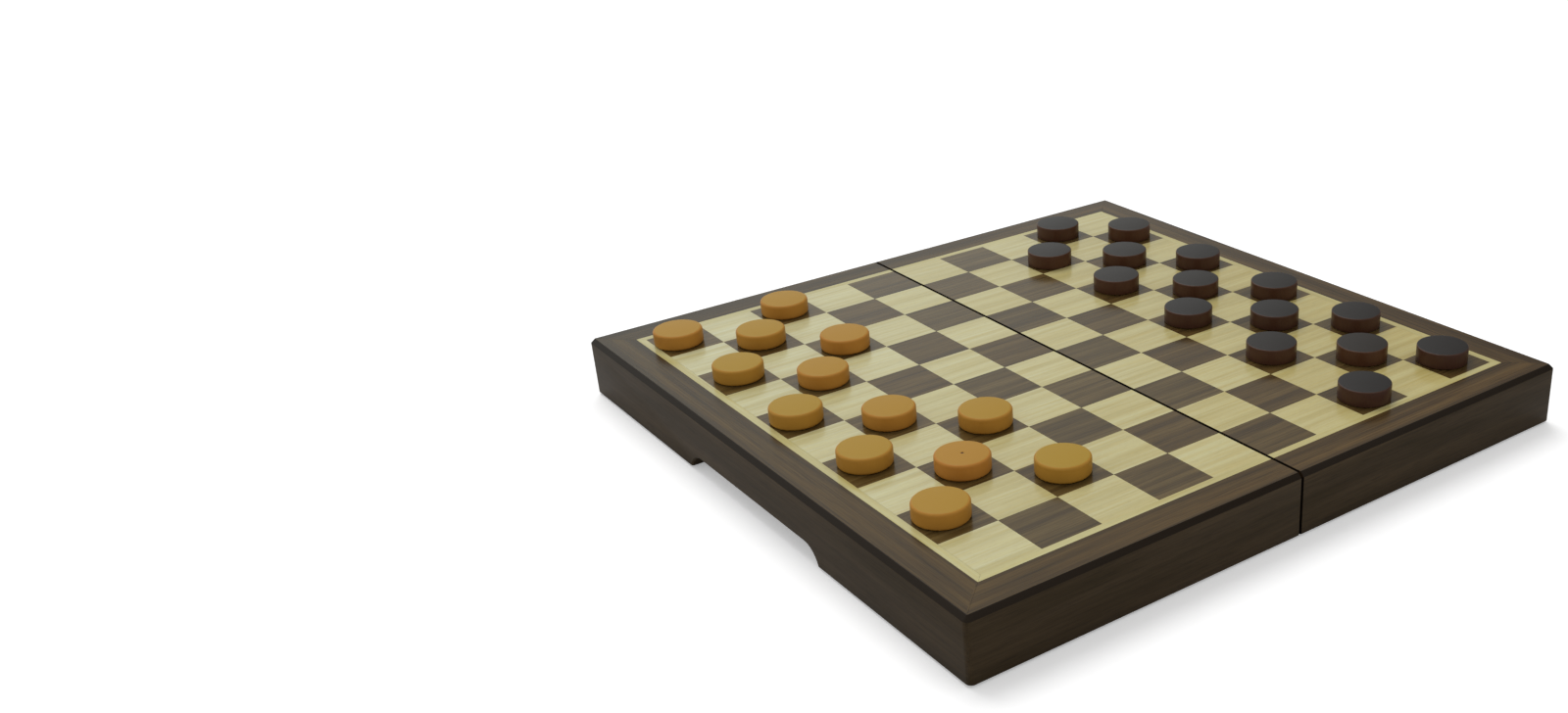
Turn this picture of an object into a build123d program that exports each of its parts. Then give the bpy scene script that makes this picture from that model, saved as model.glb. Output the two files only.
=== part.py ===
from build123d import *
import os
from math import sqrt

# A folding magnetic draughts box, open flat with its rims down and its pieces on the board.
# All sizes are in millimetres. The origin is on the fold, at the middle, under the hinge barrels.
# +Z is up, +X runs across the fold to the right and +Y along the fold, away from the player.

# Playing field
square = 25.0
columns = 5  # in each half
rows = 10
veneer_joint = 0.06  # glue line between two pieces of veneer
stringing_width = 3.2
stringing_overlap = 0.8  # the stringing covers this much of the outer squares
border_width = 13.0
lip_land = 0.2  # flat top of the rail's lip outside the border
edge_chamfer = 1.8
corner_softness = 0.4  # rounding of the flat top's corners, inside the chamfer

# Case
case_height = 24.7  # one half, from its rim to the playing face
wall = 10.0  # end, front and back rails
hinge_wall = 8.0
veneer = 0.6
steel = 0.4
panel = 3.0
panel_ledge = 5.0  # width of the seat that the panel rests on
panel_clearance = 0.1
lining = 0.8
lining_clearance = 0.3
fold_gap = 0.2  # between the two halves when open
fold_arris = 0.55  # broken edge along the fold
closing_gap = 0.2  # between the two rims when closed

# Finger notch in each end rail
notch_width = 98.6
notch_depth = 6.0
notch_end_radius = 9.0
notch_arris = 0.6  # broken edge round the notch, on the outside

# Magnets that keep the box shut
catch_radius = 4.0
catch_length = 3.0
catch_clearance = 0.05
catch_recess = 0.1
catch_beside_notch = 12.0  # from the notch's end to the magnet's centre

# Butt hinges
hinge_spread = 170.0  # between the middles of the two hinges
hinge_length = 16.0
leaf_width = 7.0
leaf_thickness = 0.8
leaf_clearance = 0.1
barrel_radius = 1.0
barrel_clearance = 0.25
middle_knuckle = 5.8
knuckle_gap = 0.1
pin_radius = 0.5
pin_clearance = 0.05
screw_spacing = 10.0
screw_from_pin = 4.4
screw_radius = 0.8
screw_head_radius = 1.4
screw_length = 6.0
screw_slot = 0.4

# Checkers
checker_radius = 10.3
checker_thickness = 6.5
light_edge = 0.7
dark_edge = 0.35
disc_radius = 4.0
disc_length = 2.0
disc_clearance = 0.05
disc_recess = 0.1
seat_gap = 0.02

# Each checker: its column and row, counted from the near left square, and how far its
# centre stands off the middle of that square, to the right and away, in shares of a square.
light_checkers = [
    (0, 1, -0.02, 0.08), (0, 3, 0.02, 0.1), (0, 5, -0.04, 0.0), (0, 7, 0.04, 0.04), (0, 9, -0.08, 0.0),
    (1, 2, -0.02, 0.02), (1, 4, 0.02, 0.04), (1, 6, 0.0, -0.02), (1, 8, 0.0, 0.08),
    (2, 1, 0.02, 0.04), (2, 3, 0.08, 0.02), (2, 7, -0.02, -0.04), (2, 9, -0.04, 0.02),
]
dark_checkers = [
    (7, 0, -0.02, -0.04), (7, 2, 0.02, 0.02), (7, 4, 0.02, 0.04), (7, 6, 0.08, 0.06), (7, 8, -0.04, -0.1),
    (8, 1, 0.08, 0.02), (8, 3, 0.06, 0.0), (8, 5, 0.02, -0.04), (8, 7, 0.04, -0.02), (8, 9, 0.02, 0.02),
    (9, 0, -0.04, 0.1), (9, 2, 0.02, 0.02), (9, 4, 0.0, -0.04), (9, 6, 0.0, -0.02), (9, 8, 0.04, 0.04),
]

# Places measured from the fold, for one half
fold_face = fold_gap / 2
grid_start = fold_face + fold_arris
grid_end = grid_start + columns * square
grid_side = rows * square / 2
field_end = grid_end - stringing_overlap
field_side = grid_side - stringing_overlap
string_end = field_end + stringing_width
string_side = field_side + stringing_width
veneer_end = string_end + border_width
veneer_side = string_side + border_width
outer_end = veneer_end + lip_land + edge_chamfer
outer_side = veneer_side + lip_land + edge_chamfer
corner_radius = edge_chamfer + corner_softness
inner_end = outer_end - wall
inner_side = outer_side - wall
inner_start = fold_face + hinge_wall
panel_start = inner_start - panel_ledge
panel_end = inner_end + panel_ledge
panel_side = inner_side + panel_ledge

# Heights above the table
pivot_z = barrel_radius
rim_z = pivot_z + closing_gap / 2
top_z = rim_z + case_height
veneer_z = top_z - veneer
steel_z = veneer_z - steel
panel_z = steel_z - panel
lining_z = panel_z - lining

# The same plans serve both halves: +X of each plane leads away from the fold.
halves = {
    "left": Plane(origin=(0, 0, 0), x_dir=(-1, 0, 0), z_dir=(0, 0, 1)),
    "right": Plane.XY,
}
hinge_ys = (-hinge_spread / 2, hinge_spread / 2)


def block(x_low, x_high, y_low, y_high, mode=Mode.ADD):
    """A rectangle in the current sketch, between two corners."""
    with Locations(((x_low + x_high) / 2, (y_low + y_high) / 2)):
        Rectangle(x_high - x_low, y_high - y_low, mode=mode)


def rail_blank(ground, outline):
    """The solid case with its chamfered top edge, cut down to one rail's outline."""
    with BuildSketch(ground.offset(rim_z)) as case_plan:
        RectangleRounded(2 * outer_end, 2 * outer_side, corner_radius)
    case = extrude(case_plan.sketch, amount=case_height)
    chamfer(case.faces().sort_by(Axis.Z)[-1].edges(), edge_chamfer)
    with BuildSketch(ground.offset(rim_z)) as rail_plan:
        Polygon(*outline, align=None)
    extrude(rail_plan.sketch, amount=case_height, mode=Mode.INTERSECT)


def seat_cuts(ground):
    """The recess for the veneer and the rebate for the panel and its steel sheet."""
    with BuildSketch(ground.offset(veneer_z)) as veneer_plan:
        block(0, veneer_end, -veneer_side, veneer_side)
    extrude(veneer_plan.sketch, amount=veneer, mode=Mode.SUBTRACT)
    with BuildSketch(ground.offset(panel_z)) as panel_plan:
        block(panel_start, panel_end, -panel_side, panel_side)
    extrude(panel_plan.sketch, amount=panel + steel, mode=Mode.SUBTRACT)


def fold_edges(piece, ground):
    """The top edges that lie along the fold."""
    across = Axis(ground.origin, ground.x_dir)
    return piece.edges().group_by(across)[0].group_by(Axis.Z)[-1]


def mitred_frame(hole_end, hole_side, frame_end, frame_side):
    """Three strips round the field, open at the fold and mitred at the corners."""
    block(fold_face, frame_end, -frame_side, frame_side)
    block(0, hole_end, -hole_side, hole_side, mode=Mode.SUBTRACT)
    for turn in (-1, 1):
        with Locations(((hole_end + frame_end) / 2, turn * (hole_side + frame_side) / 2)):
            Rectangle(3 * (frame_end - hole_end), veneer_joint, rotation=45 * turn, mode=Mode.SUBTRACT)


def save(builder, name):
    builder.part.label = name
    export_step(builder.part, f"parts/{name}.step")


os.makedirs("parts", exist_ok=True)

for side, ground in halves.items():
    # End rail: mitred at both ends, with the finger notch and two magnet bores in its rim
    with BuildPart() as end_rail:
        rail_blank(ground, [
            (inner_end, -inner_side), (outer_end, -outer_side),
            (outer_end, outer_side), (inner_end, inner_side),
        ])
        seat_cuts(ground)
        outside = Plane(
            origin=ground.from_local_coords((outer_end, 0, rim_z)),
            x_dir=ground.y_dir,
            z_dir=ground.x_dir,
        )
        end_run = sqrt(2 * notch_end_radius * notch_depth - notch_depth**2)
        ceiling_half = notch_width / 2 - end_run
        with BuildSketch(outside):
            with BuildLine():
                Line((-ceiling_half, notch_depth), (ceiling_half, notch_depth))
                TangentArc((ceiling_half, notch_depth), (notch_width / 2, 0), tangent=(1, 0))
                Line((notch_width / 2, 0), (-notch_width / 2, 0))
                TangentArc((-ceiling_half, notch_depth), (-notch_width / 2, 0), tangent=(-1, 0))
            make_face()
        extrude(amount=-wall, mode=Mode.SUBTRACT)
        on_outside = end_rail.edges().group_by(Axis(ground.origin, ground.x_dir))[-1]
        notch_edges = on_outside.filter_by_position(Axis.Z, rim_z + 0.1 * notch_depth, rim_z + notch_depth)
        chamfer(notch_edges, notch_arris)
        catch_x = outer_end - wall / 2
        catch_y = notch_width / 2 + catch_beside_notch
        with BuildSketch(ground.offset(rim_z)):
            with Locations((catch_x, -catch_y), (catch_x, catch_y)):
                Circle(catch_radius + catch_clearance)
        extrude(amount=catch_recess + catch_length, mode=Mode.SUBTRACT)
    save(end_rail, f"{side}_end_rail")

    # Front and back rails: mitred to the end rail, square at the fold
    for name, y_sign in (("front", -ground.y_dir.Y), ("back", ground.y_dir.Y)):
        with BuildPart() as side_rail:
            rail_blank(ground, [
                (fold_face, y_sign * outer_side), (outer_end, y_sign * outer_side),
                (inner_end, y_sign * inner_side), (fold_face, y_sign * inner_side),
            ])
            seat_cuts(ground)
            outer_face = side_rail.faces().sort_by(Axis.Y)[0 if name == "front" else -1]
            across = Axis(ground.origin, ground.x_dir)
            chamfer(outer_face.edges().filter_by(Axis.Z).sort_by(across)[0], fold_arris)
        save(side_rail, f"{side}_{name}_rail")

    # Hinge rail: between the front and back rails, mortised for the hinges
    with BuildPart() as hinge_rail:
        with BuildSketch(ground.offset(rim_z)):
            block(fold_face, inner_start, -inner_side, inner_side)
        extrude(amount=case_height - veneer)
        seat_cuts(ground)
        for hinge_y in hinge_ys:
            mortise_half = hinge_length / 2 + leaf_clearance
            with BuildSketch(ground.offset(rim_z)):
                block(fold_face, leaf_width + leaf_clearance, hinge_y - mortise_half, hinge_y + mortise_half)
            extrude(amount=leaf_thickness, mode=Mode.SUBTRACT)
            barrel_end = Plane(
                origin=ground.from_local_coords((0, hinge_y - mortise_half, pivot_z)),
                x_dir=ground.x_dir,
                z_dir=ground.y_dir,
            )
            with BuildSketch(barrel_end):
                Circle(barrel_radius + barrel_clearance)
            extrude(amount=2 * mortise_half, mode=Mode.SUBTRACT)
            with BuildSketch(ground.offset(rim_z)):
                for screw_y in (hinge_y - screw_spacing / 2, hinge_y + screw_spacing / 2):
                    with Locations((screw_from_pin, screw_y)):
                        Circle(screw_radius)
            extrude(amount=screw_length, mode=Mode.SUBTRACT)
    save(hinge_rail, f"{side}_hinge_rail")

    # Board panel in the rebate of the four rails
    with BuildPart() as board_panel:
        with BuildSketch(ground.offset(panel_z)):
            block(
                panel_start + panel_clearance, panel_end - panel_clearance,
                -panel_side + panel_clearance, panel_side - panel_clearance,
            )
        extrude(amount=panel)
    save(board_panel, f"{side}_board_panel")

    # Steel sheet under the veneer, which the magnets in the checkers hold on to
    with BuildPart() as steel_sheet:
        with BuildSketch(ground.offset(steel_z)):
            block(
                panel_start + panel_clearance, panel_end - panel_clearance,
                -panel_side + panel_clearance, panel_side - panel_clearance,
            )
        extrude(amount=steel)
    save(steel_sheet, f"{side}_steel_sheet")

    # Squares of the two woods
    for wood, parity in (("walnut", 0), ("maple", 1)):
        with BuildPart() as squares:
            with BuildSketch(ground.offset(veneer_z)):
                for column in range(columns):
                    near_x = fold_face if column == 0 else grid_start + column * square
                    far_x = grid_start + (column + 1) * square
                    for row in range(rows):
                        if (column + row) % 2 == parity:
                            low_y = row * square - grid_side
                            block(near_x, far_x - veneer_joint, low_y, low_y + square - veneer_joint)
                block(fold_face, field_end - veneer_joint, -field_side, field_side, mode=Mode.INTERSECT)
            extrude(amount=veneer)
            chamfer(fold_edges(squares, ground), fold_arris)
        save(squares, f"{side}_{wood}_squares")

    # Maple stringing round the squares, and the walnut border outside it
    with BuildPart() as stringing:
        with BuildSketch(ground.offset(veneer_z)):
            mitred_frame(field_end, field_side, string_end - veneer_joint, string_side - veneer_joint)
        extrude(amount=veneer)
        chamfer(fold_edges(stringing, ground), fold_arris)
    save(stringing, f"{side}_stringing")

    with BuildPart() as border:
        with BuildSketch(ground.offset(veneer_z)):
            mitred_frame(string_end, string_side, veneer_end, veneer_side)
        extrude(amount=veneer)
        chamfer(fold_edges(border, ground), fold_arris)
    save(border, f"{side}_border")

    # Felt lining of the tray
    with BuildPart() as tray_lining:
        with BuildSketch(ground.offset(lining_z)):
            block(
                inner_start + lining_clearance, inner_end - lining_clearance,
                -inner_side + lining_clearance, inner_side - lining_clearance,
            )
        extrude(amount=lining)
    save(tray_lining, f"{side}_tray_lining")

    # Closure magnets, sunk a little below the rim
    with BuildPart() as closure_magnets:
        with BuildSketch(ground.offset(rim_z + catch_recess)):
            with Locations((catch_x, -catch_y), (catch_x, catch_y)):
                Circle(catch_radius)
        extrude(amount=catch_length)
    save(closure_magnets, f"{side}_closure_magnets")

    # Hinge leaves: the left ones carry the two outer knuckles, the right ones the middle one
    own_knuckles = {
        "left": (
            (-hinge_length / 2, -middle_knuckle / 2 - knuckle_gap),
            (middle_knuckle / 2 + knuckle_gap, hinge_length / 2),
        ),
        "right": ((-middle_knuckle / 2, middle_knuckle / 2),),
    }[side]
    bore_radius = pin_radius if side == "left" else pin_radius + pin_clearance
    for place, hinge_y in zip(("front", "rear"), hinge_ys):
        local_y = hinge_y * ground.y_dir.Y
        with BuildPart() as leaf:
            with BuildSketch(ground.offset(rim_z)):
                block(
                    barrel_radius + barrel_clearance, leaf_width,
                    local_y - hinge_length / 2, local_y + hinge_length / 2,
                )
                for low, high in own_knuckles:
                    block(0, leaf_width, local_y + low, local_y + high)
            extrude(amount=leaf_thickness)
            for low, high in own_knuckles:
                knuckle_end = Plane(
                    origin=ground.from_local_coords((0, local_y + low, pivot_z)),
                    x_dir=ground.x_dir,
                    z_dir=ground.y_dir,
                )
                with BuildSketch(knuckle_end):
                    Circle(barrel_radius)
                extrude(amount=high - low)
            barrel_end = Plane(
                origin=ground.from_local_coords((0, local_y - hinge_length / 2, pivot_z)),
                x_dir=ground.x_dir,
                z_dir=ground.y_dir,
            )
            with BuildSketch(barrel_end):
                Circle(bore_radius)
            extrude(amount=hinge_length, mode=Mode.SUBTRACT)
            for screw_y in (local_y - screw_spacing / 2, local_y + screw_spacing / 2):
                with BuildSketch(ground.offset(rim_z)):
                    with Locations((screw_from_pin, screw_y)):
                        Circle(screw_head_radius)
                with BuildSketch(ground.offset(rim_z + leaf_thickness)):
                    with Locations((screw_from_pin, screw_y)):
                        Circle(screw_radius)
                loft(mode=Mode.SUBTRACT)
        save(leaf, f"{place}_hinge_{side}_leaf")

    # Countersunk screws with slotted heads
    with BuildPart() as screws:
        for hinge_y in hinge_ys:
            for screw_y in (hinge_y - screw_spacing / 2, hinge_y + screw_spacing / 2):
                with BuildSketch(ground.offset(rim_z)):
                    with Locations((screw_from_pin, screw_y)):
                        Circle(screw_head_radius)
                with BuildSketch(ground.offset(rim_z + leaf_thickness)):
                    with Locations((screw_from_pin, screw_y)):
                        Circle(screw_radius)
                loft()
                with BuildSketch(ground.offset(rim_z + leaf_thickness)):
                    with Locations((screw_from_pin, screw_y)):
                        Circle(screw_radius)
                extrude(amount=screw_length - leaf_thickness)
                with BuildSketch(ground.offset(rim_z)):
                    with Locations((screw_from_pin, screw_y)):
                        Rectangle(2 * screw_head_radius, screw_slot)
                extrude(amount=leaf_thickness / 2, mode=Mode.SUBTRACT)
    save(screws, f"{side}_hinge_screws")

# Hinge pins, held fast in the outer knuckles
with BuildPart() as hinge_pins:
    for hinge_y in hinge_ys:
        with BuildSketch(Plane(origin=(0, hinge_y - hinge_length / 2, pivot_z), z_dir=(0, 1, 0))):
            Circle(pin_radius)
        extrude(amount=hinge_length)
save(hinge_pins, "hinge_pins")


def square_middle(column, row):
    """The middle of a square of the open board, counted from the near left corner."""
    if column < columns:
        x_middle = -grid_start - (columns - column - 0.5) * square
    else:
        x_middle = grid_start + (column - columns + 0.5) * square
    return x_middle, (row + 0.5) * square - grid_side


# Checkers: a turned disc with a magnet let into its underside
for tone, edge_break, spots in (
    ("light", light_edge, light_checkers),
    ("dark", dark_edge, dark_checkers),
):
    for number, (column, row, right, away) in enumerate(spots, start=1):
        x_middle, y_middle = square_middle(column, row)
        seat = Plane(origin=(x_middle + right * square, y_middle + away * square, top_z + seat_gap))
        with BuildPart() as checker:
            with BuildSketch(seat):
                Circle(checker_radius)
            extrude(amount=checker_thickness)
            chamfer(checker.edges(), edge_break)
            with BuildSketch(seat):
                Circle(disc_radius + disc_clearance)
            extrude(amount=disc_recess + disc_length + disc_clearance, mode=Mode.SUBTRACT)
            with BuildSketch(seat.offset(disc_recess)):
                Circle(disc_radius)
            extrude(amount=disc_length)
        save(checker, f"{tone}_checker_{number}")
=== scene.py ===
import bpy
import math
import random
from mathutils import Matrix, Vector


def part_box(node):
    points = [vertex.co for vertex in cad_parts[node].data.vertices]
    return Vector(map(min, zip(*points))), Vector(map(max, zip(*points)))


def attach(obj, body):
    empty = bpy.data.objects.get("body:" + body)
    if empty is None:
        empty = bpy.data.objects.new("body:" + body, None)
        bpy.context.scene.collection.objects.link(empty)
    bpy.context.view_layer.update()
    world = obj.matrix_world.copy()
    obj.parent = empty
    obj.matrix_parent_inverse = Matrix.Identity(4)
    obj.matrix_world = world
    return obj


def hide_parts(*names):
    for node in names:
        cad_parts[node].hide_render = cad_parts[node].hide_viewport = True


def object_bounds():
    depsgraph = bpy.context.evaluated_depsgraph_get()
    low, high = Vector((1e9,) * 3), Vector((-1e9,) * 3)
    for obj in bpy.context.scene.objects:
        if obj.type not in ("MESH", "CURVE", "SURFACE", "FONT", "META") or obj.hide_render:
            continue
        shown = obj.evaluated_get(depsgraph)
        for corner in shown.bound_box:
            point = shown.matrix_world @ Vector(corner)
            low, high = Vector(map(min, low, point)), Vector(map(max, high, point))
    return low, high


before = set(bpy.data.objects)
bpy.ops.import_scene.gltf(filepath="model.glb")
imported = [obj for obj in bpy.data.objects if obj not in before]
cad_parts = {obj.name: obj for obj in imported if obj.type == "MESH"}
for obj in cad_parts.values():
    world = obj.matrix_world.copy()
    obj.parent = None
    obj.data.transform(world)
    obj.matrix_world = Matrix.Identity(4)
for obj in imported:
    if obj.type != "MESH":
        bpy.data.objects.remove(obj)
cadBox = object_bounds()
print("frame loaded:", len(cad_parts), "nodes")

# Sizes that several pieces share, in metres from the fold and the middle of the board

mm = 0.001
outerEnd, outerSide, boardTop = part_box("right_end_rail")[1]
square = 25 * mm
gridSide = 5 * square  # from the middle of the board to the side of its outermost squares
gridStart = 0.65 * mm  # from the fold to its first squares
arrisWidth = 0.65 * mm  # the broken edge along the fold
chamferHeight = 1.75 * mm  # at the top of the rails
smoothAngle = math.radians(35)
halves = ("left", "right")
railNames = ("end_rail", "front_rail", "back_rail", "hinge_rail")


# Helpers for node trees

# A colour as it looks on screen, as the shader's linear values
def hexColour(text):
    parts = [int(text[i:i + 2], 16) / 255 for i in (0, 2, 4)]
    return [c / 12.92 if c <= 0.04045 else ((c + 0.055) / 1.055) ** 2.4 for c in parts] + [1]


def newMaterial(name):
    material = bpy.data.materials.new(name)
    material.use_nodes = True
    tree = material.node_tree
    return material, tree, tree.nodes["Principled BSDF"]


# A socket takes a plain value or the output of another node
def feed(tree, socket, value):
    if isinstance(value, bpy.types.NodeSocket):
        tree.links.new(value, socket)
    else:
        socket.default_value = value


# Settings of the node itself, and everything else is the value of an input
nodeSettings = ("operation", "blend_type", "data_type", "noise_dimensions", "attribute_name")


def addNode(tree, kind, **values):
    node = tree.nodes.new("ShaderNode" + kind)
    for key in nodeSettings:
        if key in values:
            setattr(node, key, values.pop(key))
    for key, value in values.items():
        feed(tree, node.inputs[key], value)
    return node


def mathNode(tree, operation, *values):
    node = addNode(tree, "Math", operation=operation)
    for socket, value in zip(node.inputs, values):
        feed(tree, socket, value)
    return node.outputs[0]


# The numbers of a Mix node's factor, first, second and result, which differ with what it mixes
mixSockets = {"RGBA": (0, 6, 7, 2), "VECTOR": (0, 4, 5, 1)}


def mixNode(tree, kind, factor, first, second, blend="MIX"):
    node = addNode(tree, "Mix", data_type=kind, blend_type=blend)
    *places, result = mixSockets[kind]
    for place, value in zip(places, (factor, first, second)):
        feed(tree, node.inputs[place], value)
    return node.outputs[result]


def mixColour(tree, factor, first, second):
    return mixNode(tree, "RGBA", factor, first, second)


def tintColour(tree, colour, tint):
    return mixNode(tree, "RGBA", 1.0, colour, tint, "MULTIPLY")


def rampNode(tree, factor, positions, colours):
    node = addNode(tree, "ValToRGB", Fac=factor)
    elements = node.color_ramp.elements
    while len(elements) < len(colours):
        elements.new(0.5)
    for element, position, colour in zip(elements, positions, colours):
        element.position = position
        element.color = colour
    return node.outputs["Color"]


def objectPlace(tree):
    return addNode(tree, "TexCoord").outputs["Object"]


def splitVector(tree, vector):
    parts = addNode(tree, "SeparateXYZ", Vector=vector)
    return parts.outputs["X"], parts.outputs["Y"], parts.outputs["Z"]


def joinVector(tree, x, y, z=0.0):
    return addNode(tree, "CombineXYZ", X=x, Y=y, Z=z).outputs["Vector"]


def ownValue(tree, name):
    return addNode(tree, "Attribute", attribute_name=name)


# Noise with a scale per metre for each direction
def noiseNode(tree, place, scale, detail, roughness, distortion=0.0):
    mapping = addNode(tree, "Mapping", Vector=place, Scale=scale)
    noise = addNode(tree, "TexNoise", Vector=mapping.outputs["Vector"], Scale=1.0, Detail=detail,
                    Roughness=roughness, Distortion=distortion)
    return noise.outputs["Fac"]


def addBump(tree, shader, height, strength, depth):
    bump = addNode(tree, "Bump", Height=height, Strength=strength, Distance=depth)
    tree.links.new(bump.outputs["Normal"], shader.inputs["Normal"])


# Woods: bands, streaks and pores are noises with scales along the grain, across it and through the board

white = [1, 1, 1, 1]
# Painted shade: the near-black laid on the broken edges along the fold, where the halves meet
foldShadeColour = hexColour("120e0b")
chamferStain = hexColour("21180f")

# In each wood, leftRear and rightFront are painted light, shade and reflection, laid across the board below
mapleLook = {
    "dark": hexColour("bcb27a"), "middle": hexColour("c5bc87"), "light": hexColour("cbc592"),
    "bands": (8, 260, 260), "streaks": (30, 900, 900), "pores": (320, 2600, 2600),
    "streakTone": [0.97, 0.92, 0.78, 1], "poreTone": [0.93, 0.93, 0.93, 1],
    "palest": [1.03, 1.04, 1.07, 1], "deepest": [0.98, 0.97, 0.93, 1],
    "leftRear": [1.06, 1.13, 1.38, 1], "rightFront": [0.94, 0.86, 0.67, 1],
    "roughness": 0.2, "specular": 0.5, "bump": 0.05,
}
walnutLook = {
    "dark": hexColour("4c3b20"), "middle": hexColour("5c4926"), "light": hexColour("6a5630"),
    "bands": (7, 260, 260), "streaks": (20, 1500, 1500), "pores": (90, 3000, 3000),
    "streakTone": [0.72, 0.66, 0.6, 1], "poreTone": [0.72, 0.72, 0.72, 1],
    "palest": [1.05, 1.1, 1.3, 1], "deepest": [0.98, 0.93, 0.9, 1],
    "leftRear": [1.12, 1.18, 1.24, 1], "rightFront": [0.84, 0.82, 0.78, 1],
    "roughness": 0.2, "specular": 0.25, "bump": 0.05,
}
borderLook = dict(
    walnutLook, dark=hexColour("43321b"), middle=hexColour("564225"), light=hexColour("67502d"),
    leftRear=[0.7, 0.7, 0.5, 1], rightFront=[0.94, 0.91, 0.84, 1],
    roughness=0.24, specular=0.18, bump=0.06,
)
stringLook = dict(
    mapleLook, leftRear=[0.98, 1.0, 0.98, 1], rightFront=[0.97, 0.93, 0.82, 1], bump=0.06,
)
railLook = {
    "dark": hexColour("382c19"), "middle": hexColour("413422"), "light": hexColour("493b28"),
    "bands": (8, 110, 110), "streaks": (20, 900, 900), "pores": (100, 3000, 3000),
    "streakTone": [0.8, 0.8, 0.8, 1], "poreTone": [0.75, 0.75, 0.75, 1],
    "roughness": 0.42, "specular": 0.1, "bump": 0.06,
}
lightTurnedLook = {
    "dark": hexColour("b07c33"), "middle": hexColour("bb873a"), "light": hexColour("c48f42"),
    "bands": (5, 420, 14), "streaks": (9, 1500, 60), "pores": (90, 3600, 3600),
    "streakTone": [0.9, 0.84, 0.76, 1], "poreTone": [0.92, 0.92, 0.92, 1],
    "reddest": [1.07, 0.94, 1.02, 1], "yellowest": [0.97, 1.06, 0.92, 1],
    "faceTint": [0.88, 1.06, 0.85, 1],
    "roughness": 0.45, "specular": 0.12, "bump": 0.08,
}
darkTurnedLook = {
    "dark": hexColour("38241b"), "middle": hexColour("533525"), "light": hexColour("774a31"),
    "bands": (60, 190, 190), "streaks": (40, 900, 500), "pores": (150, 3200, 3200),
    "streakTone": [0.74, 0.7, 0.68, 1], "poreTone": [0.8, 0.8, 0.8, 1],
    "reddest": [0.86, 0.84, 0.92, 1], "yellowest": [1.22, 1.14, 0.92, 1],
    "faceTint": [0.42, 0.62, 0.9, 1], "faceStain": hexColour("060607"), "stainShare": 0.55,
    "roughness": 0.4, "specular": 0.21, "bump": 0.08,
}
plyLook = {
    "dark": hexColour("a4865a"), "middle": hexColour("b89a6c"), "light": hexColour("c8ab7c"),
    "bands": (10, 80, 80), "streaks": (20, 500, 500), "pores": (90, 1800, 1800),
    "streakTone": [0.85, 0.85, 0.85, 1], "poreTone": [0.85, 0.85, 0.85, 1],
    "roughness": 0.7, "specular": 0.5,
}
grainShape = {
    "roughness": 0.55, "waviness": 0.4, "depth": 0.1 * mm,
    "bandDetail": 3.0, "streakDetail": 4.0, "poreDetail": 2.0,
    "bandSteps": (0.34, 0.5, 0.66), "streakSteps": (0.36, 0.6), "poreSteps": (0.36, 0.46),
}


# Every wood has the same three noises. The streaks are given back too, for the bump
def grainColour(tree, place, look):
    roughness = grainShape["roughness"]
    bands = noiseNode(tree, place, look["bands"], grainShape["bandDetail"], roughness,
                      grainShape["waviness"])
    streaks = noiseNode(tree, place, look["streaks"], grainShape["streakDetail"], roughness)
    pores = noiseNode(tree, place, look["pores"], grainShape["poreDetail"], roughness)
    shades = (look["dark"], look["middle"], look["light"])
    colour = rampNode(tree, bands, grainShape["bandSteps"], shades)
    streakTone = rampNode(tree, streaks, grainShape["streakSteps"], (look["streakTone"], white))
    poreTone = rampNode(tree, pores, grainShape["poreSteps"], (look["poreTone"], white))
    return tintColour(tree, tintColour(tree, colour, streakTone), poreTone), streaks


# The lacquer's shine. Where bare is 1 the wood has no lacquer, which is part of the painted shade at the
# fold
def setLacquer(tree, shader, look, bare=None):
    shader.inputs["Roughness"].default_value = look["roughness"]
    shader.inputs["Specular IOR Level"].default_value = look["specular"]
    if bare is not None:
        covered = mathNode(tree, "SUBTRACT", 1.0, bare)
        shine = mathNode(tree, "MULTIPLY", covered, look["specular"])
        tree.links.new(shine, shader.inputs["Specular IOR Level"])


# 1 on the broken edges along the fold, which are painted near-black without lacquer in every wood, as
# painted shade in the fold's groove
def nearFold(tree, x):
    return mathNode(tree, "LESS_THAN", mathNode(tree, "ABSOLUTE", x), arrisWidth)


# How the painted light, shade and reflection slope across the board
paintedLightSlope = {"alongX": 2.54, "alongY": -1.47, "middle": 0.5}  # the first two are per metre


# Painted light, shade and reflection: the tone of a wood changes from its leftRear tint at the left rear
# corner of the board to its rightFront one at the right front, standing in for the light and sheen that
# change across the board
def paintLightAcross(tree, x, y, colour, look):
    acrossX = mathNode(tree, "MULTIPLY", x, paintedLightSlope["alongX"])
    acrossY = mathNode(tree, "MULTIPLY", y, paintedLightSlope["alongY"])
    across = mathNode(tree, "ADD", mathNode(tree, "ADD", acrossX, acrossY), paintedLightSlope["middle"])
    shade = rampNode(tree, across, (0, 1), (look["leftRear"], look["rightFront"]))
    return tintColour(tree, colour, shade)


leafShift = (3, 3, 3)  # metres, the most that the grain of a square is moved


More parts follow.
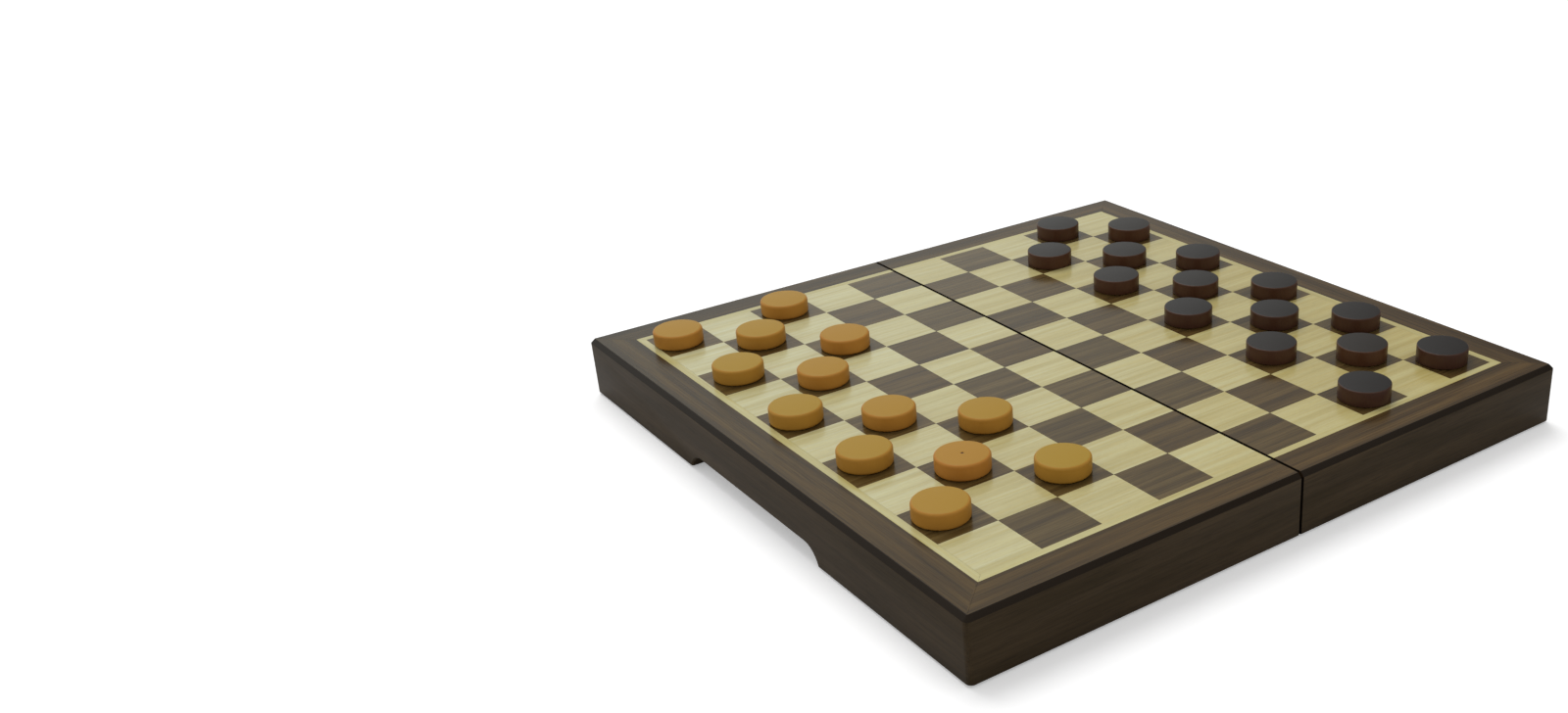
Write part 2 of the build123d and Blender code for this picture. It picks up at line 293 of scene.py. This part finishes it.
# Veneer squares: each square is its own leaf, cut from another place in the wood
def squareMaterial(name, look):
    material, tree, shader = newMaterial(name)
    place = objectPlace(tree)
    x, y, _ = splitVector(tree, place)
    fromFold = mathNode(tree, "SUBTRACT", mathNode(tree, "ABSOLUTE", x), gridStart)
    fromFold = mathNode(tree, "DIVIDE", mathNode(tree, "MAXIMUM", fromFold, 0.0), square)
    column = mathNode(tree, "ADD", mathNode(tree, "FLOOR", fromFold), 1.0)
    column = mathNode(tree, "MULTIPLY", column, mathNode(tree, "SIGN", x))
    fromSide = mathNode(tree, "DIVIDE", mathNode(tree, "ADD", y, gridSide), square)
    row = mathNode(tree, "FLOOR", fromSide)
    chance = addNode(tree, "TexWhiteNoise", noise_dimensions="3D", Vector=joinVector(tree, column, row))
    leaf = addNode(tree, "VectorMath", operation="MULTIPLY_ADD")
    for socket, value in zip(leaf.inputs, (chance.outputs["Color"], leafShift, place)):
        feed(tree, socket, value)
    colour, streaks = grainColour(tree, leaf.outputs["Vector"], look)
    shade = rampNode(tree, chance.outputs["Value"], (0, 1), (look["palest"], look["deepest"]))
    colour = paintLightAcross(tree, x, y, tintColour(tree, colour, shade), look)
    onArris = nearFold(tree, x)
    tree.links.new(mixColour(tree, onArris, colour, foldShadeColour), shader.inputs["Base Color"])
    setLacquer(tree, shader, look, bare=onArris)
    addBump(tree, shader, streaks, look["bump"], grainShape["depth"])
    return material


# Strips round the board: the grain runs along each strip and turns at the mitre
def frameMaterial(name, look, isRail=False):
    material, tree, shader = newMaterial(name)
    x, y, z = splitVector(tree, objectPlace(tree))
    endward = mathNode(tree, "SUBTRACT", mathNode(tree, "ABSOLUTE", x), outerEnd)
    sideward = mathNode(tree, "SUBTRACT", mathNode(tree, "ABSOLUTE", y), outerSide)
    onEnd = mathNode(tree, "GREATER_THAN", endward, sideward)
    alongSide = joinVector(tree, x, y, z)
    alongEnd = joinVector(tree, y, x, z)
    colour, streaks = grainColour(tree, mixNode(tree, "VECTOR", onEnd, alongSide, alongEnd), look)
    if not isRail:
        colour = paintLightAcross(tree, x, y, colour, look)
    onArris = nearFold(tree, x)
    colour = mixColour(tree, onArris, colour, foldShadeColour)
    if isRail:
        onChamfer = mathNode(tree, "GREATER_THAN", z, boardTop - chamferHeight)
        colour = mixColour(tree, onChamfer, colour, chamferStain)
    tree.links.new(colour, shader.inputs["Base Color"])
    setLacquer(tree, shader, look, bare=onArris)
    addBump(tree, shader, streaks, look["bump"], grainShape["depth"])
    return material


# Turned wood, sawn across the grain: rings on the faces and long streaks down the side.
# woodCoord is the place measured from the pith, or 0 where the wood is to be plain,
# plankTone is the plank's own hue, and ringFace is 1 on the flat faces.
def turnedMaterial(name, look):
    material, tree, shader = newMaterial(name)
    x, y, z = splitVector(tree, ownValue(tree, "woodCoord").outputs["Vector"])
    squareX = mathNode(tree, "MULTIPLY", x, x)
    squareY = mathNode(tree, "MULTIPLY", y, y)
    fromPith = mathNode(tree, "SQRT", mathNode(tree, "ADD", squareX, squareY))
    colour, streaks = grainColour(tree, joinVector(tree, z, fromPith, x), look)
    plank = ownValue(tree, "plankTone").outputs["Fac"]
    plankTone = rampNode(tree, plank, (0, 1), (look["reddest"], look["yellowest"]))
    colour = tintColour(tree, colour, plankTone)
    faceTone = tintColour(tree, colour, look["faceTint"])
    if "faceStain" in look:
        faceTone = mixColour(tree, look["stainShare"], faceTone, look["faceStain"])
    colour = mixColour(tree, ownValue(tree, "ringFace").outputs["Fac"], colour, faceTone)
    tree.links.new(colour, shader.inputs["Base Color"])
    setLacquer(tree, shader, look)
    addBump(tree, shader, streaks, look["bump"], grainShape["depth"])
    return material


def plyMaterial():
    material, tree, shader = newMaterial("plywood")
    colour, _ = grainColour(tree, objectPlace(tree), plyLook)
    tree.links.new(colour, shader.inputs["Base Color"])
    setLacquer(tree, shader, plyLook)
    return material


mapleSquare = squareMaterial("mapleSquare", mapleLook)
walnutSquare = squareMaterial("walnutSquare", walnutLook)
mapleStrip = frameMaterial("mapleStrip", stringLook)
walnutStrip = frameMaterial("walnutStrip", borderLook)
stainedRail = frameMaterial("stainedRail", railLook, isRail=True)
lightTurned = turnedMaterial("lightTurned", lightTurnedLook)
darkTurned = turnedMaterial("darkTurned", darkTurnedLook)
barePly = plyMaterial()
print("woods made")


# Metals, brushed along the fold or plain

brassLook = {
    "dark": hexColour("a5823c"), "light": hexColour("d9b565"),
    "roughness": 0.32, "scratches": (6000, 800, 800),
}
steelLook = {
    "dark": hexColour("8d8f92"), "light": hexColour("c9cbce"),
    "roughness": 0.3, "scratches": (6000, 800, 800),
}
nickelLook = {
    "dark": hexColour("a9a9a8"), "light": hexColour("d8d8d6"),
    "roughness": 0.2, "scratches": (800, 800, 800),
}
scratchShape = {
    "detail": 4.0, "roughness": 0.6, "steps": (0.3, 0.7), "spread": 0.2, "bump": 0.08, "depth": 0.05 * mm,
}


def metalMaterial(name, look):
    material, tree, shader = newMaterial(name)
    scratches = noiseNode(tree, objectPlace(tree), look["scratches"], scratchShape["detail"],
                          scratchShape["roughness"])
    tone = rampNode(tree, scratches, scratchShape["steps"], (look["dark"], look["light"]))
    tree.links.new(tone, shader.inputs["Base Color"])
    spread = scratchShape["spread"]
    rough = mathNode(tree, "MULTIPLY_ADD", scratches, spread, look["roughness"] - spread / 2)
    tree.links.new(rough, shader.inputs["Roughness"])
    shader.inputs["Metallic"].default_value = 1.0
    addBump(tree, shader, scratches, scratchShape["bump"], scratchShape["depth"])
    return material


brass = metalMaterial("hingeBrass", brassLook)
steel = metalMaterial("brightSteel", steelLook)
nickel = metalMaterial("nickelPlate", nickelLook)


feltLook = {
    "dark": hexColour("12261c"), "light": hexColour("2c4a3a"), "fibres": (1400, 1400, 1400),
    "worn": [0.85, 0.85, 0.85, 1], "fresh": [1.1, 1.1, 1.1, 1], "patches": (60, 60, 60),
    "fibreDetail": 6.0, "fibreRoughness": 0.7, "patchDetail": 3.0, "patchRoughness": 0.5,
    "steps": (0.3, 0.7), "roughness": 0.95, "specular": 0.1, "nap": 0.5, "napRoughness": 0.4,
    "bump": 0.6, "depth": 0.3 * mm,
}


def feltMaterial():
    material, tree, shader = newMaterial("trayFelt")
    place = objectPlace(tree)
    fibres = noiseNode(tree, place, feltLook["fibres"], feltLook["fibreDetail"], feltLook["fibreRoughness"])
    patches = noiseNode(tree, place, feltLook["patches"], feltLook["patchDetail"],
                        feltLook["patchRoughness"])
    tone = rampNode(tree, fibres, feltLook["steps"], (feltLook["dark"], feltLook["light"]))
    wear = rampNode(tree, patches, feltLook["steps"], (feltLook["worn"], feltLook["fresh"]))
    tree.links.new(tintColour(tree, tone, wear), shader.inputs["Base Color"])
    shader.inputs["Roughness"].default_value = feltLook["roughness"]
    shader.inputs["Specular IOR Level"].default_value = feltLook["specular"]
    shader.inputs["Sheen Weight"].default_value = feltLook["nap"]
    shader.inputs["Sheen Roughness"].default_value = feltLook["napRoughness"]
    addBump(tree, shader, fibres, feltLook["bump"], feltLook["depth"])
    return material


felt = feltMaterial()

knot = {
    "piece": "light_checker_6", "radius": 0.6 * mm, "depth": 0.2 * mm,
    "colour": hexColour("3a220e"), "roughness": 0.7,
}


def knotMaterial():
    material, _, shader = newMaterial("knotWood")
    shader.inputs["Base Color"].default_value = knot["colour"]
    shader.inputs["Roughness"].default_value = knot["roughness"]
    return material


knotWood = knotMaterial()
print("metals, felt and knot made")


# Pieces that come from the frame as they are

def dress(nodeName, material):
    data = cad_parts[nodeName].data
    data.materials.clear()
    data.materials.append(material)


pieceMaterials = {
    "board_panel": barePly, "steel_sheet": steel, "walnut_squares": walnutSquare,
    "maple_squares": mapleSquare, "stringing": mapleStrip, "border": walnutStrip,
    "tray_lining": felt, "closure_magnets": nickel, "hinge_screws": brass,
}
for half in halves:
    for rail in railNames:
        dress(f"{half}_{rail}", stainedRail)
    for pieceName, material in pieceMaterials.items():
        dress(f"{half}_{pieceName}", material)
    for hinge in ("front", "rear"):
        dress(f"{hinge}_hinge_{half}_leaf", brass)
dress("hinge_pins", steel)
print("frame's pieces dressed")


# Helpers for modelling

def deselectAll():
    if bpy.context.object and bpy.context.object.mode != "OBJECT":
        bpy.ops.object.mode_set(mode="OBJECT")
    bpy.ops.object.select_all(action="DESELECT")


# Selects the faces whose centre and normal pass the test, and nothing else
def selectFaces(mesh, test):
    bpy.ops.mesh.select_all(action="DESELECT")
    bpy.ops.object.mode_set(mode="OBJECT")
    for face in mesh.polygons:
        face.select = test(face.center, face.normal)
    bpy.ops.object.mode_set(mode="EDIT")


def extrudeBy(height):
    bpy.ops.mesh.extrude_region_move(TRANSFORM_OT_translate={"value": (0, 0, height)})


# A new object with its own copy of a mesh, the only one selected
def copyPiece(name, mesh):
    piece = bpy.data.objects.new(name, mesh.copy())
    bpy.context.scene.collection.objects.link(piece)
    deselectAll()
    piece.select_set(True)
    bpy.context.view_layer.objects.active = piece
    return piece


# Checkers

checkerShape = {
    "sides": 96, "radius": 10.3 * mm, "thickness": 6.5 * mm, "segments": 5,
    "lightEdge": 1.1 * mm, "darkEdge": 0.45 * mm,
    "pocketRadius": 4.05 * mm, "pocketDepth": 2.15 * mm,
    "magnetGap": 0.05 * mm, "magnetLength": 2.0 * mm,
    "level": 0.99, "nearlyLevel": 0.98,  # how upright a face's normal is
}
checkerWood = {
    "seed": 7, "fromPith": (18 * mm, 55 * mm), "along": (-2, 2),
    "grainShown": False,  # True gives the checkers their rings and streaks
}
grainChance = random.Random(checkerWood["seed"])


# One checker at the origin: rounded edges, and a pocket with a magnet underneath
def turnedDisc(name, edgeRadius):
    radius, thickness = checkerShape["radius"], checkerShape["thickness"]
    pocketRadius, pocketDepth = checkerShape["pocketRadius"], checkerShape["pocketDepth"]
    level, gap = checkerShape["level"], checkerShape["magnetGap"]
    deselectAll()
    bpy.ops.mesh.primitive_cylinder_add(
        vertices=checkerShape["sides"], radius=radius, depth=thickness, location=(0, 0, thickness / 2))
    disc = bpy.context.object
    disc.name = name
    bpy.ops.object.transform_apply(location=True, rotation=False, scale=False)
    bpy.ops.object.mode_set(mode="EDIT")
    bpy.ops.mesh.select_mode(type="FACE")
    selectFaces(disc.data, lambda centre, normal: abs(normal.z) > level)
    bpy.ops.mesh.bevel(offset=edgeRadius, segments=checkerShape["segments"], affect="EDGES")
    selectFaces(disc.data, lambda centre, normal: normal.z < -level)
    bpy.ops.mesh.inset(thickness=radius - edgeRadius - pocketRadius)
    extrudeBy(pocketDepth)
    bpy.ops.mesh.inset(thickness=gap)
    extrudeBy(-checkerShape["magnetLength"])
    bpy.ops.object.mode_set(mode="OBJECT")
    disc.data.materials.append(None)
    disc.data.materials.append(nickel)
    for face in disc.data.polygons:
        isMagnet = face.center.xy.length < pocketRadius - gap / 2 and face.center.z < pocketDepth
        face.material_index = 1 if isMagnet else 0
    bpy.ops.object.mode_set(mode="EDIT")
    bpy.ops.mesh.select_all(action="SELECT")
    bpy.ops.mesh.normals_make_consistent(inside=False)
    bpy.ops.object.mode_set(mode="OBJECT")
    bpy.ops.object.shade_smooth_by_angle(angle=smoothAngle)
    return disc


# The small dark knot in the top of one light checker
def cutKnot(piece):
    piece.data.materials.append(knotWood)
    top = max(face.center.z for face in piece.data.polygons)
    bpy.ops.object.mode_set(mode="EDIT")
    bpy.ops.mesh.select_mode(type="FACE")
    selectFaces(piece.data, lambda centre, normal: centre.z > top - 0.01 * mm)
    bpy.ops.mesh.inset(thickness=checkerShape["radius"] - checkerShape["lightEdge"] - knot["radius"])
    piece.active_material_index = len(piece.data.materials) - 1
    bpy.ops.object.material_slot_assign()
    extrudeBy(-knot["depth"])
    bpy.ops.object.mode_set(mode="OBJECT")
    bpy.ops.object.shade_smooth_by_angle(angle=smoothAngle)


# Gives a checker its own plank, and its place in that plank where the grain is shown.
# The attributes are found again by name, because adding one can move the others.
def chooseWood(mesh):
    turn = grainChance.uniform(0, 2 * math.pi)
    fromPith = grainChance.uniform(*checkerWood["fromPith"])
    along = grainChance.uniform(*checkerWood["along"])
    plank = grainChance.random()
    mesh.attributes.new("woodCoord", "FLOAT_VECTOR", "POINT")
    mesh.attributes.new("plankTone", "FLOAT", "POINT")
    mesh.attributes.new("ringFace", "FLOAT", "CORNER")
    woodCoord = mesh.attributes["woodCoord"]
    plankTone = mesh.attributes["plankTone"]
    ringFace = mesh.attributes["ringFace"]
    for face in mesh.polygons:
        for corner in face.loop_indices:
            ringFace.data[corner].value = float(abs(face.normal.z) > checkerShape["nearlyLevel"])
    for index, vertex in enumerate(mesh.vertices):
        plankTone.data[index].value = plank
        if checkerWood["grainShown"]:
            x, y, z = vertex.co
            woodCoord.data[index].vector = (
                x * math.cos(turn) - y * math.sin(turn),
                x * math.sin(turn) + y * math.cos(turn) + fromPith,
                z + along,
            )


# A copy of the turned disc on a checker's place
def placeChecker(pattern, nodeName, material):
    low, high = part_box(nodeName)
    piece = copyPiece(nodeName + "_turned", pattern.data)
    if nodeName == knot["piece"]:
        cutKnot(piece)
    chooseWood(piece.data)
    for vertex in piece.data.vertices:
        vertex.co += Vector(((low.x + high.x) / 2, (low.y + high.y) / 2, low.z))
    piece.data.materials[0] = material
    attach(piece, nodeName)
    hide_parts(nodeName)
    return piece


lightPattern = turnedDisc("lightPattern", checkerShape["lightEdge"])
darkPattern = turnedDisc("darkPattern", checkerShape["darkEdge"])
for nodeName in sorted(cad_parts):
    if nodeName.startswith("light_checker_"):
        placeChecker(lightPattern, nodeName, lightTurned)
    elif nodeName.startswith("dark_checker_"):
        placeChecker(darkPattern, nodeName, darkTurned)
for pattern in (lightPattern, darkPattern):
    bpy.data.objects.remove(pattern)
print("checkers turned")


# Rails

easing = {
    "width": 0.3 * mm, "segments": 2, "sharp": math.radians(20), "flat": math.radians(0.5),
    "band": 2 * mm, "near": 0.05 * mm, "merge": 0.001 * mm,
}


# An edge on the outside of the case that is no part of a mitre, the fold or the veneer's lip
def isEased(vertices):
    near = easing["near"]
    inwards = [(outerEnd - abs(v.x), outerSide - abs(v.y)) for v in vertices]
    outside = all(min(ends) < easing["band"] for ends in inwards)
    onMitre = all(abs(fromEnd - fromSide) < near for fromEnd, fromSide in inwards)
    onFold = all(abs(v.x) < arrisWidth + near for v in vertices)
    onLip = all(v.z > boardTop - near for v in vertices)
    return outside and not (onMitre or onFold or onLip)


# A rail from the frame with its outer edges eased by hand
def easeRail(nodeName, body):
    piece = copyPiece(nodeName + "_eased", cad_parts[nodeName].data)
    mesh = piece.data
    bpy.ops.object.mode_set(mode="EDIT")
    bpy.ops.mesh.select_mode(type="VERT")
    bpy.ops.mesh.select_all(action="SELECT")
    bpy.ops.mesh.remove_doubles(threshold=easing["merge"])
    bpy.ops.mesh.dissolve_limited(angle_limit=easing["flat"])
    bpy.ops.mesh.select_mode(type="EDGE")
    bpy.ops.mesh.select_all(action="DESELECT")
    bpy.ops.mesh.edges_select_sharp(sharpness=easing["sharp"])
    bpy.ops.object.mode_set(mode="OBJECT")
    for edge in mesh.edges:
        edge.select = edge.select and isEased([mesh.vertices[index].co for index in edge.vertices])
    bpy.ops.object.mode_set(mode="EDIT")
    bpy.ops.mesh.bevel(
        offset=easing["width"], segments=easing["segments"], affect="EDGES", clamp_overlap=True)
    bpy.ops.object.mode_set(mode="OBJECT")
    bpy.ops.object.shade_smooth_by_angle(angle=smoothAngle)
    mesh.materials.clear()
    mesh.materials.append(stainedRail)
    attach(piece, body)
    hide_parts(nodeName)


for half in halves:
    for rail in railNames:
        easeRail(f"{half}_{rail}", f"{half}_half")
print("rails eased")


# Felt under each board panel

feltCut = {
    "across": 30, "along": 60, "thickness": 0.7 * mm, "glueGap": 0.04 * mm,
    "unevenness": 0.03 * mm, "wavesAcross": 310, "wavesAlong": 270,  # radians per metre
}


# A sheet of felt, glued to the underside of the panel and a little uneven
def layFelt(half):
    low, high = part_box(f"{half}_tray_lining")
    width, length = high.x - low.x, high.y - low.y
    deselectAll()
    bpy.ops.mesh.primitive_grid_add(
        x_subdivisions=feltCut["across"], y_subdivisions=feltCut["along"], size=1)
    piece = bpy.context.object
    piece.name = f"{half}_tray_felt"
    for vertex in piece.data.vertices:
        x = low.x + (vertex.co.x + 0.5) * width
        y = low.y + (vertex.co.y + 0.5) * length
        wave = math.sin(x * feltCut["wavesAcross"]) * math.cos(y * feltCut["wavesAlong"])
        sag = feltCut["unevenness"] * (1 + wave)
        vertex.co = (x, y, high.z - feltCut["glueGap"] - sag)
    thickness = piece.modifiers.new("thickness", "SOLIDIFY")
    thickness.thickness = feltCut["thickness"]
    thickness.offset = -1
    bpy.ops.object.shade_smooth_by_angle(angle=smoothAngle)
    piece.data.materials.append(felt)
    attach(piece, f"{half}_half")
    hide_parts(f"{half}_tray_lining")


for half in halves:
    layFelt(half)
print("felt laid")


# Floor, light and camera

floorSettings = {"size": 40.0, "tone": 0.75, "toneSeen": 0.97, "glow": 0.32}


# A pale floor that reads as white where nothing shades it
def makeFloor():
    deselectAll()
    bpy.ops.mesh.primitive_plane_add(size=floorSettings["size"], location=(0, 0, cadBox[0].z))
    floor = bpy.context.object
    floor.name = "floor"
    material, tree, shader = newMaterial("whiteFloor")
    cameraRay = addNode(tree, "LightPath").outputs["Is Camera Ray"]
    tone, toneSeen = floorSettings["tone"], floorSettings["toneSeen"]
    colour = mixColour(tree, cameraRay, [tone, tone, tone, 1], [toneSeen, toneSeen, toneSeen, 1])
    tree.links.new(colour, shader.inputs["Base Color"])
    shader.inputs["Roughness"].default_value = 1.0
    shader.inputs["Specular IOR Level"].default_value = 0.0
    shader.inputs["Emission Color"].default_value = white
    glow = mathNode(tree, "MULTIPLY", cameraRay, floorSettings["glow"])
    tree.links.new(glow, shader.inputs["Emission Strength"])
    floor.data.materials.append(material)


worldSettings = {
    "light": 0.54, "sheen": 0.85, "sheenColour": (0.94, 1.0, 0.98, 1),
    "sheenMiddle": 0.5, "sheenFall": 2.4, "sheenLeast": 0.2, "sheenMost": 1.1,
}


# White where the camera sees it, a plain soft light elsewhere, and in reflections dimmer to the right
def makeWorld():
    world = bpy.data.worlds.new("studio")
    bpy.context.scene.world = world
    world.use_nodes = True
    tree = world.node_tree
    background = tree.nodes["Background"]
    rays = addNode(tree, "LightPath")
    cameraRay, glossyRay = rays.outputs["Is Camera Ray"], rays.outputs["Is Glossy Ray"]
    colour = mixColour(tree, glossyRay, white, worldSettings["sheenColour"])
    tree.links.new(colour, background.inputs["Color"])
    acrossSky, _, _ = splitVector(tree, addNode(tree, "TexCoord").outputs["Generated"])
    rightward = mathNode(tree, "SUBTRACT", acrossSky, worldSettings["sheenMiddle"])
    fall = mathNode(tree, "MULTIPLY", rightward, worldSettings["sheenFall"])
    share = mathNode(tree, "SUBTRACT", 1.0, fall)
    share = mathNode(tree, "MAXIMUM", share, worldSettings["sheenLeast"])
    share = mathNode(tree, "MINIMUM", share, worldSettings["sheenMost"])
    light = worldSettings["light"]
    sheen = mathNode(tree, "MULTIPLY", share, worldSettings["sheen"])
    change = mathNode(tree, "MULTIPLY", mathNode(tree, "SUBTRACT", sheen, light), glossyRay)
    strength = mathNode(tree, "MAXIMUM", mathNode(tree, "ADD", change, light), cameraRay)
    tree.links.new(strength, background.inputs["Strength"])


keySettings = {"power": 1.25, "softness": math.radians(38), "from": (0.2, 0.9, 1.6)}


# A broad soft light from above and behind
def makeKeyLight():
    data = bpy.data.lights.new("keyLight", "SUN")
    data.energy = keySettings["power"]
    data.angle = keySettings["softness"]
    lamp = bpy.data.objects.new("keyLight", data)
    bpy.context.scene.collection.objects.link(lamp)
    lamp.location = keySettings["from"]
    lamp.rotation_euler = (-Vector(keySettings["from"])).to_track_quat("-Z", "Y").to_euler()


# Lens and sensor in millimetres, place from the middle of the board's top, angles in degrees,
# and the last four in the photo's pixels
cameraSettings = {
    "lens": 35.71, "sensor": 36.0, "nearest": 0.02, "place": (-354.6 * mm, -473.8 * mm, 257.3 * mm),
    "heading": 37.459, "dip": 26.469, "roll": -1.448,
    "principalX": 1095, "principalY": 440, "imageWidth": 1600, "imageHeight": 728,
}


# The photograph's viewpoint, from the perspective of the board's squares
def makeCamera():
    data = bpy.data.cameras.new("photoCamera")
    camera = bpy.data.objects.new("photoCamera", data)
    bpy.context.scene.collection.objects.link(camera)
    width, height = cameraSettings["imageWidth"], cameraSettings["imageHeight"]
    data.lens = cameraSettings["lens"]
    data.sensor_width = cameraSettings["sensor"]
    data.shift_x = (width / 2 - cameraSettings["principalX"]) / width
    data.shift_y = (cameraSettings["principalY"] - height / 2) / width
    data.clip_start = cameraSettings["nearest"]
    heading, dip, roll = (math.radians(cameraSettings[angle]) for angle in ("heading", "dip", "roll"))
    level = math.cos(dip)
    forward = Vector((math.sin(heading) * level, math.cos(heading) * level, -math.sin(dip)))
    sideways = forward.cross(Vector((0, 0, 1))).normalized()
    upright = sideways.cross(forward)
    right = sideways * math.cos(roll) + upright * math.sin(roll)
    up = upright * math.cos(roll) - sideways * math.sin(roll)
    turn = Matrix((right, up, -forward)).transposed()
    aboveBoard = Vector(cameraSettings["place"]) + Vector((0, 0, boardTop))
    camera.matrix_world = Matrix.Translation(aboveBoard) @ turn.to_4x4()
    bpy.context.scene.camera = camera


makeFloor()
makeWorld()
makeKeyLight()
makeCamera()
bpy.context.scene.view_settings.view_transform = "Standard"
print("stage set")
